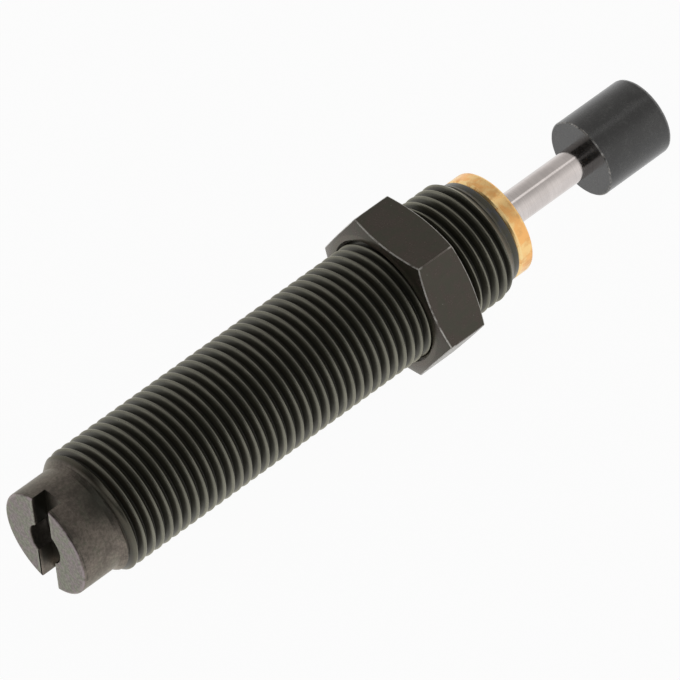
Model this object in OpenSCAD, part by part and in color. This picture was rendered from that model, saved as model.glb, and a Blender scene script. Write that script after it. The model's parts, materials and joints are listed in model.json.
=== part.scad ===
// Miniature self-contained hydraulic shock absorber with a threaded body.
// The axis of the rod is X, with the striking head at +X. The origin lies on that axis,
// in the plane of the lock nut's rear face, and a flat of the nut faces down.

/* [Body] */
// Length of the body, from its slotted end to its mouth
body_len = 50.5; // [48:0.1:70]
// Diameter over the crests of the outside thread
thread_d = 11.8; // [11.4:0.1:14]
// Pitch of the outside thread
thread_pitch = 1; // [1:0.25:1.5]
// Depth of the outside thread
thread_depth = 0.58; // [0.4:0.02:0.7]
// Diameter of the bore that holds the mechanism
bore_d = 8.6; // [8.4:0.1:9.4]
// Thickness of the closed end, stub included
floor_t = 6; // [5:0.1:8]
// Diameter of the plain stub at the closed end
stub_d = 10.1; // [9.8:0.1:11]
// Length of the plain stub
stub_len = 4; // [2:0.1:6]
// Axial length of the cone between stub and thread
rear_cone_len = 1.1; // [0.6:0.1:2]
// Diameter of the plain neck at the mouth
neck_d = 10.2; // [10:0.1:11]
// Length of the plain neck
neck_len = 0.6; // [0.4:0.1:3]
// Axial length of the cone between thread and neck
front_cone_len = 1.1; // [0.6:0.1:2]
// Edge break on the rim of the stub
rim_break = 0.25; // [0.1:0.05:0.5]

/* [Slotted end] */
// Width of the screwdriver slot
slot_w = 2.1; // [1.2:0.1:3]
// Angle of the slot from the vertical, about the body's axis
slot_turn = 3; // [-90:1:90]
// Depth of the screwdriver slot
slot_depth = 1.5; // [0.8:0.1:2.4]
// Diameter of the recess in the middle of the slot
recess_d = 3.8; // [3.6:0.1:6]
// Depth of that recess
recess_depth = 3.2; // [2.6:0.1:3.8]
// Diameter of the filling hole behind the recess
fill_d = 2.2; // [1.6:0.1:2.6]
// Width across flats of the socket in the filling plug
socket_af = 1.3; // [0.9:0.1:1.5]
// Thickness of the seal under the filling plug
fill_seal_t = 0.4; // [0.3:0.1:0.8]
// Thickness of the filling plug's head
plug_head_t = 0.9; // [0.6:0.1:1.2]

/* [Lock nut] */
// Distance from the thread's crests out to the nut's flats
nut_wall = 1.1; // [1.1:0.1:3.6]
// Thickness of the nut
nut_t = 5; // [3:0.1:7]
// Distance from the nut's flats in to the flat ring on each of its faces
nut_face_inset = 0.4; // [0.2:0.1:0.6]
// Angle of the cones that cut the nut's corners
nut_cone_angle = 20; // [10:1:35]
// Distance from the slotted end to the nut's rear face
nut_from_rear = 39; // [20:0.1:41]

/* [Rod and head] */
// Diameter of the piston rod
rod_d = 3.1; // [2.8:0.1:3.6]
// Stroke of the rod
stroke = 10; // [6:0.5:11]
// Gap left between head and bearing at the end of the stroke
head_clear = 0.7; // [0.2:0.1:2]
// Diameter of the striking head
head_d = 7.6; // [6:0.1:10]
// Length of the striking head
head_len = 7.6; // [6:0.1:12]
// Edge break round the head's striking face
head_front_break = 0.35; // [0.1:0.05:0.8]
// Edge break round the head's back face
head_back_break = 0.15; // [0.1:0.05:0.4]
// Diameter of the relief where the rod enters the head
relief_d = 4.2; // [3.8:0.1:4.6]
// Depth of that relief
relief_depth = 1.2; // [0.5:0.1:2]
// Diameter of the threaded end of the rod inside the head
rod_end_d = 2.4; // [1.8:0.1:2.6]
// Length of the rod's threaded end
rod_end_len = 4; // [2:0.1:4.5]

/* [Bearing and seals] */
// Diameter of the bearing's flange
flange_d = 10.2; // [9.6:0.1:11.4]
// Thickness of the bearing's flange
flange_t = 1.7; // [1.2:0.1:3]
// Edge break on both rims of the flange
flange_break = 0.2; // [0.1:0.05:0.4]
// Length of the bearing inside the body
bearing_len = 5.6; // [4:0.1:7]
// Thickness of the cord of the bearing's O-ring
o_ring_t = 0.7; // [0.5:0.1:1]
// Diameter of the wiper's pocket in the bearing
wiper_d = 5.2; // [4.8:0.1:6]
// Depth of the wiper's pocket
wiper_depth = 0.9; // [0.6:0.1:1.1]
// Length of the rod seal
seal_len = 2.2; // [1.6:0.1:3]
// Thickness of the washer behind the rod seal
washer_t = 0.5; // [0.4:0.1:1]

/* [Accumulator] */
// Length of the sleeve that carries the foam
foam_sleeve_len = 7.8; // [4:0.1:9]
// Outside diameter of that sleeve
foam_sleeve_d = 4.6; // [4.4:0.1:5]
// Thickness of the guide's flange on the end of the pressure tube
guide_flange_t = 1.2; // [0.8:0.1:2]
// Diameter of the oil ports in the guide's flange
port_d = 0.7; // [0.4:0.1:0.8]

/* [Pressure tube] */
// Diameter of the pressure tube's bore
tube_bore_d = 6.1; // [6:0.1:6.4]
// Thickness of the pressure tube's wall
tube_wall = 0.6; // [0.4:0.1:0.8]
// Thickness of the base plate under the pressure tube
base_t = 1.4; // [1:0.1:2]
// Length of the spigots that centre the tube at both ends
spigot_len = 0.8; // [0.5:0.1:1.2]
// Diameter of the metering orifices
orifice_d = 0.6; // [0.4:0.1:0.8]
// Number of metering orifices along the stroke
orifice_count = 5; // [3:1:6]

/* [Piston] */
// Length of the piston's sealing land
land_len = 2.3; // [1.6:0.1:3]
// Diameter of the hub that carries the check ring
hub_d = 4.2; // [4:0.1:4.4]
// Length of the check ring
check_len = 1; // [0.7:0.1:1.4]
// Axial play of the check ring
check_play = 0.3; // [0.2:0.05:0.5]
// Thickness of the retainer behind the piston
retainer_t = 0.8; // [0.6:0.1:1.2]
// Diameter of the rod's tail inside the piston
tail_d = 2; // [1.6:0.1:2.2]

/* [Return spring] */
// Diameter of the spring's wire
wire_d = 0.5; // [0.4:0.05:0.55]
// Mean diameter of the spring's coils
coil_d = 4.6; // [4.4:0.1:4.8]
// Number of coils, closed end coils included
coil_count = 13; // [9:1:13]
// Number of closed coils at each end
closed_coils = 1; // [1:1:2]
// Thickness of the spring's seat
seat_t = 0.8; // [0.6:0.1:1.2]

/* [Fits] */
// Radial gap of pieces that sit still in one another
still_gap = 0.05; // [0.03:0.01:0.08]
// Radial gap of pieces that slide in one another
slide_gap = 0.05; // [0.03:0.01:0.1]
// Gap left at a stop
stop_gap = 0.1; // [0.05:0.05:0.3]

/* [Hidden] */
$fn = 96;

// Stations along the axis, from the slotted end to the mouth
rear_x = -nut_from_rear;
floor_x = rear_x + floor_t;
tube_rear_x = floor_x + base_t;
mouth_x = rear_x + body_len;
thread_rear_x = rear_x + stub_len + rear_cone_len;
thread_front_x = mouth_x - neck_len - front_cone_len;
bearing_rear_x = mouth_x - bearing_len;
seal_rear_x = bearing_rear_x - seal_len;
washer_rear_x = seal_rear_x - washer_t;
guide_front_x = washer_rear_x;
guide_flange_x = guide_front_x - foam_sleeve_len;
tube_front_x = guide_flange_x - guide_flange_t;
guide_rear_x = tube_front_x - spigot_len;

// Stations of the moving pieces, with the rod out
piston_front_x = guide_rear_x - stop_gap;
land_rear_x = piston_front_x - land_len;
check_front_x = land_rear_x - check_play;
hub_rear_x = check_front_x - check_len - still_gap;
retainer_rear_x = hub_rear_x - retainer_t;
seat_front_x = retainer_rear_x - still_gap;
spring_front_x = seat_front_x - seat_t;
spring_rear_x = tube_rear_x + spigot_len;
flange_front_x = mouth_x + flange_t;
head_back_x = flange_front_x + stroke + head_clear;
head_front_x = head_back_x + head_len;
rod_shoulder_x = head_back_x + relief_depth;

// Angle between the flanks of a metric thread
thread_angle = 60;

// Radii that several pieces share
fitted_r = bore_d / 2 - still_gap;
rod_hole_r = rod_d / 2 + slide_gap;
recess_floor_x = rear_x + recess_depth;
plug_x = recess_floor_x - fill_seal_t;
plug_head_r = recess_d / 2 - 2 * still_gap;
port_circle_r = (foam_sleeve_d + bore_d) / 4;
groove_len = 1.4 * o_ring_t;
groove_rear_x = bearing_rear_x + (bearing_len - groove_len) / 2;
spring_pin_r = (coil_d - wire_d) / 2 - 3 * still_gap;
nut_af = thread_d + 2 * nut_wall;
nut_face_r = nut_af / 2 - nut_face_inset;
skin = 0.5;

black_steel = [0.17, 0.17, 0.16];
bare_steel = [0.72, 0.72, 0.74];
brass_gold = [0.86, 0.63, 0.33];
rubber_black = [0.06, 0.06, 0.06];

// A turned solid: each point of the outline is [radius, place along X]
module turned(outline) {
  rotate([0, 90, 0])
    rotate_extrude() polygon(outline);
}

// A plain ring between two places along X
module ring(inner_r, outer_r, from_x, to_x) {
  turned([[inner_r, from_x], [outer_r, from_x], [outer_r, to_x], [inner_r, to_x]]);
}

// A round bar along X, placed off the axis when side is given
module bar(radius, from_x, to_x, side = 0) {
  translate([from_x, 0, side])
    rotate([0, 90, 0]) cylinder(r = radius, h = to_x - from_x);
}

// The thread is a row of ring grooves, one pitch apart, with a flat crest between each two
module body_tube() {
  thread_r = thread_d / 2;
  root_r = thread_r - thread_depth;
  crest_flat = thread_pitch / 8;
  mouth_half = (thread_pitch - crest_flat) / 2;
  root_half = mouth_half - thread_depth * tan(thread_angle / 2);
  grooves = floor((thread_front_x - thread_rear_x) / thread_pitch);
  first_groove_x = (thread_rear_x + thread_front_x - (grooves - 1) * thread_pitch) / 2;
  thread_outline = [for (i = [0 : grooves - 1])
    let (middle_x = first_groove_x + i * thread_pitch)
      each [
        [thread_r, middle_x - mouth_half],
        [root_r, middle_x - root_half],
        [root_r, middle_x + root_half],
        [thread_r, middle_x + mouth_half]]];
  color(black_steel)
    difference() {
      turned([
        [fill_d / 2, recess_floor_x],
        [recess_d / 2, recess_floor_x],
        [recess_d / 2, rear_x],
        [stub_d / 2 - rim_break, rear_x],
        [stub_d / 2, rear_x + rim_break],
        [stub_d / 2, rear_x + stub_len],
        [thread_r, thread_rear_x],
        each thread_outline,
        [thread_r, thread_front_x],
        [neck_d / 2, mouth_x - neck_len],
        [neck_d / 2, mouth_x],
        [bore_d / 2, mouth_x],
        [bore_d / 2, floor_x],
        [fill_d / 2, floor_x]]);
      rotate([-slot_turn, 0, 0])
        translate([rear_x - skin, -slot_w / 2, -stub_d])
          cube([slot_depth + skin, slot_w, 2 * stub_d]);
    }
}

module fill_seal() {
  color(rubber_black)
    ring(fill_d / 2, plug_head_r, plug_x, recess_floor_x);
}

module fill_plug() {
  head_rear_x = plug_x - plug_head_t;
  color(bare_steel)
    difference() {
      turned([
        [0, head_rear_x],
        [plug_head_r, head_rear_x],
        [plug_head_r, plug_x],
        [fill_d / 2 - still_gap, plug_x],
        [fill_d / 2 - still_gap, floor_x],
        [0, floor_x]]);
      translate([head_rear_x - skin, 0, 0])
        rotate([0, 90, 0]) cylinder(d = socket_af / cos(30), h = 0.9 * plug_head_t + skin, $fn = 6);
    }
}

module tube_base() {
  spigot_r = tube_bore_d / 2 - still_gap;
  color(bare_steel)
    turned([
      [fill_d / 4, floor_x],
      [fitted_r, floor_x],
      [fitted_r, tube_rear_x],
      [spigot_r, tube_rear_x],
      [spigot_r, spring_rear_x],
      [fill_d / 4, spring_rear_x]]);
}

// The orifices crowd together towards the end of the stroke, and wind round the tube
module pressure_tube() {
  first_x = spring_front_x - orifice_d;
  color(bare_steel)
    difference() {
      ring(tube_bore_d / 2, tube_bore_d / 2 + tube_wall, tube_rear_x, tube_front_x);
      for (i = [0 : orifice_count - 1]) {
        share = i / (orifice_count - 1);
        along = stroke * (1 - pow(1 - share, 2));
        translate([first_x - along, 0, 0])
          rotate([60 * i, 0, 0]) cylinder(d = orifice_d, h = tube_bore_d);
      }
    }
}

module rod_guide() {
  color(bare_steel)
    difference() {
      turned([
        [rod_hole_r, guide_rear_x],
        [tube_bore_d / 2 - still_gap, guide_rear_x],
        [tube_bore_d / 2 - still_gap, tube_front_x],
        [fitted_r, tube_front_x],
        [fitted_r, guide_flange_x],
        [foam_sleeve_d / 2, guide_flange_x],
        [foam_sleeve_d / 2, guide_front_x],
        [rod_hole_r, guide_front_x]]);
      for (turn = [0 : 60 : 300])
        rotate([turn, 0, 0])
          bar(port_d / 2, tube_front_x - skin, guide_flange_x + skin, port_circle_r);
    }
}

module accumulator_foam() {
  color([0.75, 0.72, 0.62])
    ring(foam_sleeve_d / 2 + still_gap, fitted_r, guide_flange_x, guide_front_x);
}

module seal_washer() {
  color(bare_steel)
    ring(rod_hole_r, fitted_r, washer_rear_x, seal_rear_x);
}

// A lip seal: its groove opens towards the oil
module rod_seal() {
  wall = fitted_r - rod_hole_r;
  lip_x = seal_rear_x + 0.25 * seal_len;
  groove_x = seal_rear_x + 0.6 * seal_len;
  color(rubber_black)
    turned([
      [rod_hole_r, seal_rear_x],
      [rod_hole_r + 0.2 * wall, seal_rear_x],
      [rod_hole_r + 0.4 * wall, groove_x],
      [rod_hole_r + 0.6 * wall, groove_x],
      [rod_hole_r + 0.8 * wall, seal_rear_x],
      [fitted_r, seal_rear_x],
      [fitted_r, bearing_rear_x],
      [rod_hole_r, bearing_rear_x],
      [rod_hole_r, groove_x],
      [rod_hole_r + 0.1 * wall, (lip_x + groove_x) / 2],
      [rod_hole_r, lip_x]]);
}

module bearing() {
  flange_r = flange_d / 2;
  groove_r = fitted_r - o_ring_t;
  color(brass_gold)
    turned([
      [rod_hole_r, bearing_rear_x],
      [fitted_r, bearing_rear_x],
      [fitted_r, groove_rear_x],
      [groove_r, groove_rear_x],
      [groove_r, groove_rear_x + groove_len],
      [fitted_r, groove_rear_x + groove_len],
      [fitted_r, mouth_x],
      [flange_r - flange_break, mouth_x],
      [flange_r, mouth_x + flange_break],
      [flange_r, flange_front_x - flange_break],
      [flange_r - flange_break, flange_front_x],
      [wiper_d / 2, flange_front_x],
      [wiper_d / 2, flange_front_x - wiper_depth],
      [rod_hole_r, flange_front_x - wiper_depth]]);
}

module bearing_o_ring() {
  cord_r = o_ring_t / 2 - still_gap / 2;
  color(rubber_black)
    translate([groove_rear_x + groove_len / 2, 0, 0])
      rotate([0, 90, 0])
        rotate_extrude() translate([fitted_r - cord_r, 0]) circle(r = cord_r, $fn = 32);
}

module wiper_ring() {
  pocket_x = flange_front_x - wiper_depth;
  color(rubber_black)
    turned([
      [rod_hole_r + slide_gap, pocket_x],
      [wiper_d / 2 - still_gap, pocket_x],
      [wiper_d / 2 - still_gap, flange_front_x - wiper_depth / 4],
      [rod_hole_r + slide_gap, flange_front_x]]);
}

// The wire's middle line turns about X, with closed coils at both ends
module return_spring() {
  sides = 8;
  steps = 20;
  wire_r = wire_d / 2;
  start_x = spring_rear_x + wire_r;
  active = coil_count - 2 * closed_coils;
  closed_len = wire_d * closed_coils;
  open_pitch = (spring_front_x - spring_rear_x - wire_d - 2 * closed_len) / active;
  count = coil_count * steps;
  function rise(coil) = wire_d * min(coil, closed_coils)
    + open_pitch * max(0, min(coil - closed_coils, active))
    + wire_d * max(0, coil - closed_coils - active);
  points = [for (i = [0 : count], j = [0 : sides - 1])
    let (turn = 360 * i / steps, tilt = 360 * j / sides, out = coil_d / 2 + wire_r * cos(tilt))
      [start_x + rise(i / steps) + wire_r * sin(tilt), out * cos(turn), out * sin(turn)]];
  walls = [for (i = [0 : count - 1], j = [0 : sides - 1])
    let (next = (j + 1) % sides)
      [i * sides + j, i * sides + next, (i + 1) * sides + next, (i + 1) * sides + j]];
  first_end = [for (j = [sides - 1 : -1 : 0]) j];
  last_end = [for (j = [0 : sides - 1]) count * sides + j];
  color(bare_steel)
    polyhedron(points, concat(walls, [first_end, last_end]));
}

module spring_seat() {
  color(bare_steel)
    turned([
      [tail_d / 4, spring_front_x - seat_t],
      [spring_pin_r, spring_front_x - seat_t],
      [spring_pin_r, spring_front_x],
      [tube_bore_d / 2 - 6 * slide_gap, spring_front_x],
      [tube_bore_d / 2 - 6 * slide_gap, seat_front_x],
      [tail_d / 4, seat_front_x]]);
}

module piston_retainer() {
  color(bare_steel)
    ring(tail_d / 2 + still_gap, tube_bore_d / 2 - 5 * slide_gap, retainer_rear_x, hub_rear_x);
}

module check_ring() {
  color(brass_gold)
    ring(hub_d / 2 + 2 * slide_gap, tube_bore_d / 2 - slide_gap, hub_rear_x + still_gap, check_front_x);
}

module piston() {
  land_r = tube_bore_d / 2 - slide_gap;
  port_r = (land_r - hub_d / 2) * 0.3;
  color(bare_steel)
    difference() {
      turned([
        [tail_d / 2 + still_gap, hub_rear_x],
        [hub_d / 2, hub_rear_x],
        [hub_d / 2, land_rear_x],
        [land_r, land_rear_x],
        [land_r, piston_front_x],
        [tail_d / 2 + still_gap, piston_front_x]]);
      for (turn = [0 : 60 : 300])
        rotate([turn, 0, 0])
          bar(port_r, land_rear_x - check_play / 2, piston_front_x + skin, (land_r + hub_d / 2) / 2);
    }
}

module piston_rod() {
  end_break = 0.2;
  color(bare_steel)
    turned([
      [0, retainer_rear_x],
      [tail_d / 2, retainer_rear_x],
      [tail_d / 2, piston_front_x],
      [rod_d / 2, piston_front_x],
      [rod_d / 2, rod_shoulder_x],
      [rod_end_d / 2, rod_shoulder_x],
      [rod_end_d / 2, rod_shoulder_x + rod_end_len - end_break],
      [rod_end_d / 2 - end_break, rod_shoulder_x + rod_end_len],
      [0, rod_shoulder_x + rod_end_len]]);
}

module rod_head() {
  head_r = head_d / 2;
  hole_r = rod_end_d / 2 + still_gap;
  hole_end_x = rod_shoulder_x + rod_end_len + still_gap;
  color(black_steel)
    turned([
      [0, hole_end_x],
      [hole_r, hole_end_x],
      [hole_r, rod_shoulder_x],
      [relief_d / 2, rod_shoulder_x],
      [relief_d / 2, head_back_x],
      [head_r - head_back_break, head_back_x],
      [head_r, head_back_x + head_back_break],
      [head_r, head_front_x - head_front_break],
      [head_r - head_front_break, head_front_x],
      [0, head_front_x]]);
}

// A hexagon between two flat cones, with a countersunk hole
module lock_nut() {
  corner_r = nut_af / 2 / cos(30) + skin;
  cone_x = (corner_r - nut_face_r) * tan(nut_cone_angle);
  hole_r = thread_d / 2 + slide_gap;
  sink = 0.25;
  color(black_steel)
    intersection() {
      rotate([0, 90, 0]) rotate([0, 0, 30])
        cylinder(d = nut_af / cos(30), h = nut_t, $fn = 6);
      turned([
        [hole_r + sink, 0],
        [nut_face_r, 0],
        [corner_r, cone_x],
        [corner_r, nut_t - cone_x],
        [nut_face_r, nut_t],
        [hole_r + sink, nut_t],
        [hole_r, nut_t - sink],
        [hole_r, sink]]);
    }
}

body_tube();
fill_seal();
fill_plug();
tube_base();
pressure_tube();
rod_guide();
accumulator_foam();
seal_washer();
rod_seal();
bearing();
bearing_o_ring();
wiper_ring();
return_spring();
spring_seat();
piston_retainer();
check_ring();
piston();
piston_rod();
rod_head();
lock_nut();
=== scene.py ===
"""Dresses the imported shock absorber: threaded body, lock nut, bearing, wiper, rod, head and return
spring get their fine shapes, every piece gets its finish, and a plain studio is set up round it."""

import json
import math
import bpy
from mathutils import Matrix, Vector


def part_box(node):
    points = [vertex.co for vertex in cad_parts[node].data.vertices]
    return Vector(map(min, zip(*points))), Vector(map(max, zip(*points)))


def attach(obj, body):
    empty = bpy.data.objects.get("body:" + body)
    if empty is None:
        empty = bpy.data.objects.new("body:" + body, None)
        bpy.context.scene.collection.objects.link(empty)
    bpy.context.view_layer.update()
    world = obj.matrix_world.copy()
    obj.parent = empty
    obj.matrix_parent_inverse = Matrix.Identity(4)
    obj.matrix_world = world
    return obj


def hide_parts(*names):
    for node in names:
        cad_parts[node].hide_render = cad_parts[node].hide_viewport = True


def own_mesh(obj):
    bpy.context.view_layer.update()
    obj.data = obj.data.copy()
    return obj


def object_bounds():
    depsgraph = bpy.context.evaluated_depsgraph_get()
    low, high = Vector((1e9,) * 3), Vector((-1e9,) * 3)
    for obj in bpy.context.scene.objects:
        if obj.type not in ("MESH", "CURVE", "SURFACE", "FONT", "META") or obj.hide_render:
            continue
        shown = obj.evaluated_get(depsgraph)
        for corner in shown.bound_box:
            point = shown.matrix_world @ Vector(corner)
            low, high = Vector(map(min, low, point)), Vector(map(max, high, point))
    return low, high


bl_info = {
    "name": "Threaded shock absorber",
    "version": (1, 0, 0),
    "blender": (4, 5, 0),
    "location": "3D View > Sidebar > Shock absorber",
    "description": "Builds the visible pieces of a miniature shock absorber, and their finishes",
    "category": "Object",
}

import bmesh
import bpy
from bpy.props import FloatProperty, FloatVectorProperty, IntProperty, PointerProperty
from mathutils import Matrix, Vector

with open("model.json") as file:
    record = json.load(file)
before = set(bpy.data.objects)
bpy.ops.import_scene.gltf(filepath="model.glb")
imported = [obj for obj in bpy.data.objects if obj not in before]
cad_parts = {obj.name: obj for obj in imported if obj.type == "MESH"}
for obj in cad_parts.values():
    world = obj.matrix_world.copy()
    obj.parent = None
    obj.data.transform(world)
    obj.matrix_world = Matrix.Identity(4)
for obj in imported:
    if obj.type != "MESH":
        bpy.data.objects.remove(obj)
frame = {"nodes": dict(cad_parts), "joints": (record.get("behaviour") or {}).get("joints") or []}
cad_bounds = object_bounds()


# Places, in millimetres along the rod's axis

def mm(length):
    """A length in millimetres, the unit in which meshes are shaped"""
    return 1000 * length


def span(node):
    """A round node's lowest and highest place along X, and its radius, in millimetres"""
    low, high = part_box(node)
    return mm(low[0]), mm(high[0]), mm(high[2])


# Mesh tools

def near(vert, radius, place):
    return abs(vert.co.x - place) < 1e-4 and abs(math.hypot(vert.co.y, vert.co.z) - radius) < 1e-4


def set_radius(vert, radius):
    factor = radius / math.hypot(vert.co.y, vert.co.z)
    vert.co.y *= factor
    vert.co.z *= factor


def round_edges(bm, edges, size, segments=3):
    """Rounds edges, and gives the round its own shading: returns its faces"""
    made = bmesh.ops.bevel(
        bm, geom=edges, offset=size, offset_type="OFFSET", segments=segments, profile=0.5,
        affect="EDGES", clamp_overlap=True, material=-1)
    return made["faces"]


def crease_round(bm, faces):
    """Keeps the shading of a round from running out over the plain faces beside it"""
    round_faces = set(faces)
    for edge in bm.edges:
        if len({face in round_faces for face in edge.link_faces}) == 2:
            edge.smooth = False


def turned(outline, steps=128):
    """A turned solid about X from (radius, place) pairs. A third number rounds that corner."""
    bm = bmesh.new()
    verts = [bm.verts.new((corner[1], 0, corner[0])) for corner in outline]
    pairs = list(zip(verts, verts[1:]))
    if outline[0][0] > 0:
        pairs.append((verts[-1], verts[0]))
    edges = [bm.edges.new(pair) for pair in pairs]
    bmesh.ops.spin(
        bm, geom=verts + edges, cent=(0, 0, 0), axis=(1, 0, 0), angle=2 * math.pi, steps=steps,
        use_merge=True)
    bmesh.ops.remove_doubles(bm, verts=bm.verts, dist=1e-4)
    bmesh.ops.recalc_face_normals(bm, faces=bm.faces)
    for face in bm.faces:
        face.smooth = True
    for edge in bm.edges:
        if edge.calc_face_angle(0) > math.radians(25):
            edge.smooth = False
    for radius, place, *size in outline:
        if size:
            corner = [e for e in bm.edges if all(near(vert, radius, place) for vert in e.verts)]
            crease_round(bm, round_edges(bm, corner, size[0]))
    return bm


def draw_on(bm, rim, outline):
    """Draws a round rim on through each (radius, place) of an outline, and returns the last rim"""
    for radius, place in outline:
        made = bmesh.ops.extrude_edge_only(bm, edges=rim)["geom"]
        new = {item for item in made if isinstance(item, bmesh.types.BMVert)}
        for vert in new:
            set_radius(vert, radius)
            vert.co.x = place
        rim = [e for e in made if isinstance(e, bmesh.types.BMEdge) and set(e.verts) <= new]
    return rim


def rim_at(bm, place):
    return [e for e in bm.edges if e.is_boundary and all(abs(v.co.x - place) < 1e-4 for v in e.verts)]


def cut(bm, point, normal, geom=None, clear=False):
    """Cuts the mesh, or a part of it, in a plane. With clear, what lies outside is taken away."""
    if geom is None:
        geom = bm.verts[:] + bm.edges[:] + bm.faces[:]
    made = bmesh.ops.bisect_plane(
        bm, geom=geom, dist=1e-5, plane_co=point, plane_no=normal, clear_outer=clear)
    return [item for item in made["geom_cut"] if isinstance(item, bmesh.types.BMEdge)]


def piece(name, bm, body, replaced, finishes):
    """Makes an object of a mesh that was shaped in millimetres"""
    bmesh.ops.scale(bm, vec=(0.001, 0.001, 0.001), verts=bm.verts)
    bm.normal_update()
    mesh = bpy.data.meshes.new(name)
    bm.to_mesh(mesh)
    bm.free()
    for finish in finishes:
        mesh.materials.append(finish)
    made = bpy.data.objects.new(name, mesh)
    bpy.context.scene.collection.objects.link(made)
    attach(made, body)
    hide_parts(*replaced)
    return made


# Shader tools

class Value:
    """A number's socket in a material, which Python's operators work on"""

    def __init__(self, finish, socket):
        self.finish = finish
        self.socket = socket

    def _maths(self, operation, first, second=None):
        return self.finish.node("ShaderNodeMath", {"operation": operation}, {0: first, 1: second})

    def __add__(self, other):
        return self._maths("ADD", self, other)

    def __sub__(self, other):
        return self._maths("SUBTRACT", self, other)

    def __mul__(self, other):
        return self._maths("MULTIPLY", self, other)

    def __truediv__(self, other):
        return self._maths("DIVIDE", self, other)

    def __pow__(self, other):
        return self._maths("POWER", self, other)

    def __rsub__(self, other):
        return self._maths("SUBTRACT", other, self)

    def __rtruediv__(self, other):
        return self._maths("DIVIDE", other, self)

    __radd__ = __add__
    __rmul__ = __mul__

    def __abs__(self):
        return self._maths("ABSOLUTE", self)

    def at_least(self, other):
        return self._maths("MAXIMUM", self, other)

    def at_most(self, other):
        return self._maths("MINIMUM", self, other)

    def rise(self, start, end):
        """0 below start and 1 above end, or the other way round where end is the lower"""
        settings = {"interpolation_type": "SMOOTHSTEP"}
        return self.finish.node("ShaderNodeMapRange", settings, {0: self, 1: start, 2: end})

    def band(self, middle, half_width):
        """1 at middle, and 0 from half_width away"""
        return abs(self - middle).rise(half_width, 0)


class Finish:
    """A material, whose nodes read places in millimetres"""

    def __init__(self, name):
        self.material = bpy.data.materials.new(name)
        self.material.use_nodes = True
        self.tree = self.material.node_tree
        self.tree.nodes.clear()
        coordinates = self.node("ShaderNodeTexCoord", {}, {}, "Object")
        self.place = self.vector("SCALE", coordinates, Scale=1000)
        self.x = self.node("ShaderNodeSeparateXYZ", {}, {0: self.place}, "X")
        self.y = self.node("ShaderNodeSeparateXYZ", {}, {0: self.place}, "Y")
        self.z = self.node("ShaderNodeSeparateXYZ", {}, {0: self.place}, "Z")
        self.radius = (self.y * self.y + self.z * self.z) ** 0.5

    def node(self, kind, settings, sockets, output=0):
        """Adds a node: its settings, then the values or links of its inputs. Returns an output."""
        made = self.tree.nodes.new(kind)
        for name, value in settings.items():
            setattr(made, name, value)
        for key, value in sockets.items():
            if isinstance(value, Value):
                self.tree.links.new(value.socket, made.inputs[key])
            elif value is not None:
                made.inputs[key].default_value = value
        return Value(self, made.outputs[output])

    def vector(self, operation, first, second=None, **more):
        sockets = {0: first, 1: second, **more}
        return self.node("ShaderNodeVectorMath", {"operation": operation}, sockets)

    def noise(self, size, detail=3, rough=0.55, along=1, turn=(0, 0, 0)):
        """Clouds of about size millimetres, stretched along X by the factor along, from 0 to 1"""
        sockets = {"Vector": self.place, "Rotation": turn, "Scale": (1 / size / along, 1 / size, 1 / size)}
        spread = self.node("ShaderNodeMapping", {}, sockets)
        sockets = {"Vector": spread, "Scale": 1, "Detail": detail, "Roughness": rough}
        return self.node("ShaderNodeTexNoise", {}, sockets)

    def turning(self, size, detail=2):
        """Rings that a lathe leaves, about size millimetres apart"""
        rings = self.node("ShaderNodeCombineXYZ", {}, {0: self.x / size, 1: self.radius / size})
        sockets = {"Vector": rings, "Scale": 1, "Detail": detail, "Roughness": 0.6}
        return self.node("ShaderNodeTexNoise", {}, sockets)

    def mix(self, mask, low, high):
        """The colour low where mask is 0 and high where it is 1"""
        sockets = {0: mask, 6: colour(low), 7: colour(high)}
        return self.node("ShaderNodeMix", {"data_type": "RGBA", "clamp_factor": True}, sockets, 2)

    def tone(self, value, factor):
        """A colour made darker or lighter by the factor"""
        if isinstance(value, Value):
            return self.vector("SCALE", value, Scale=factor)
        return shade(value, factor)

    def bump(self, height, depth, strength=1.0, under=None):
        """A relief of depth millimetres"""
        sockets = {"Height": height, "Distance": depth / 1000, "Strength": strength, "Normal": under}
        return self.node("ShaderNodeBump", {}, sockets)

    def surface(self, base, metallic, roughness, normal=None, **fixed):
        sockets = {"Base Color": colour(base), "Metallic": metallic, "Roughness": roughness, "Normal": normal}
        sockets.update(fixed)
        shader = self.node("ShaderNodeBsdfPrincipled", {}, sockets)
        self.node_output(shader)
        return self.material

    def node_output(self, shader):
        made = self.tree.nodes.new("ShaderNodeOutputMaterial")
        self.tree.links.new(shader.socket, made.inputs["Surface"])


def colour(value):
    """A link as it is, or three numbers with the fourth that a colour socket has"""
    return value if isinstance(value, Value) else (*value, 1)


def shade(value, factor):
    return tuple(factor * part for part in value)


# What a user may change

def length(name, metres, description):
    return FloatProperty(
        name=name, default=metres, min=0, precision=5, unit="LENGTH", description=description)


def tint(name, value, description):
    return FloatVectorProperty(
        name=name, default=value, min=0, max=1, size=3, subtype="COLOR", description=description)


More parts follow.
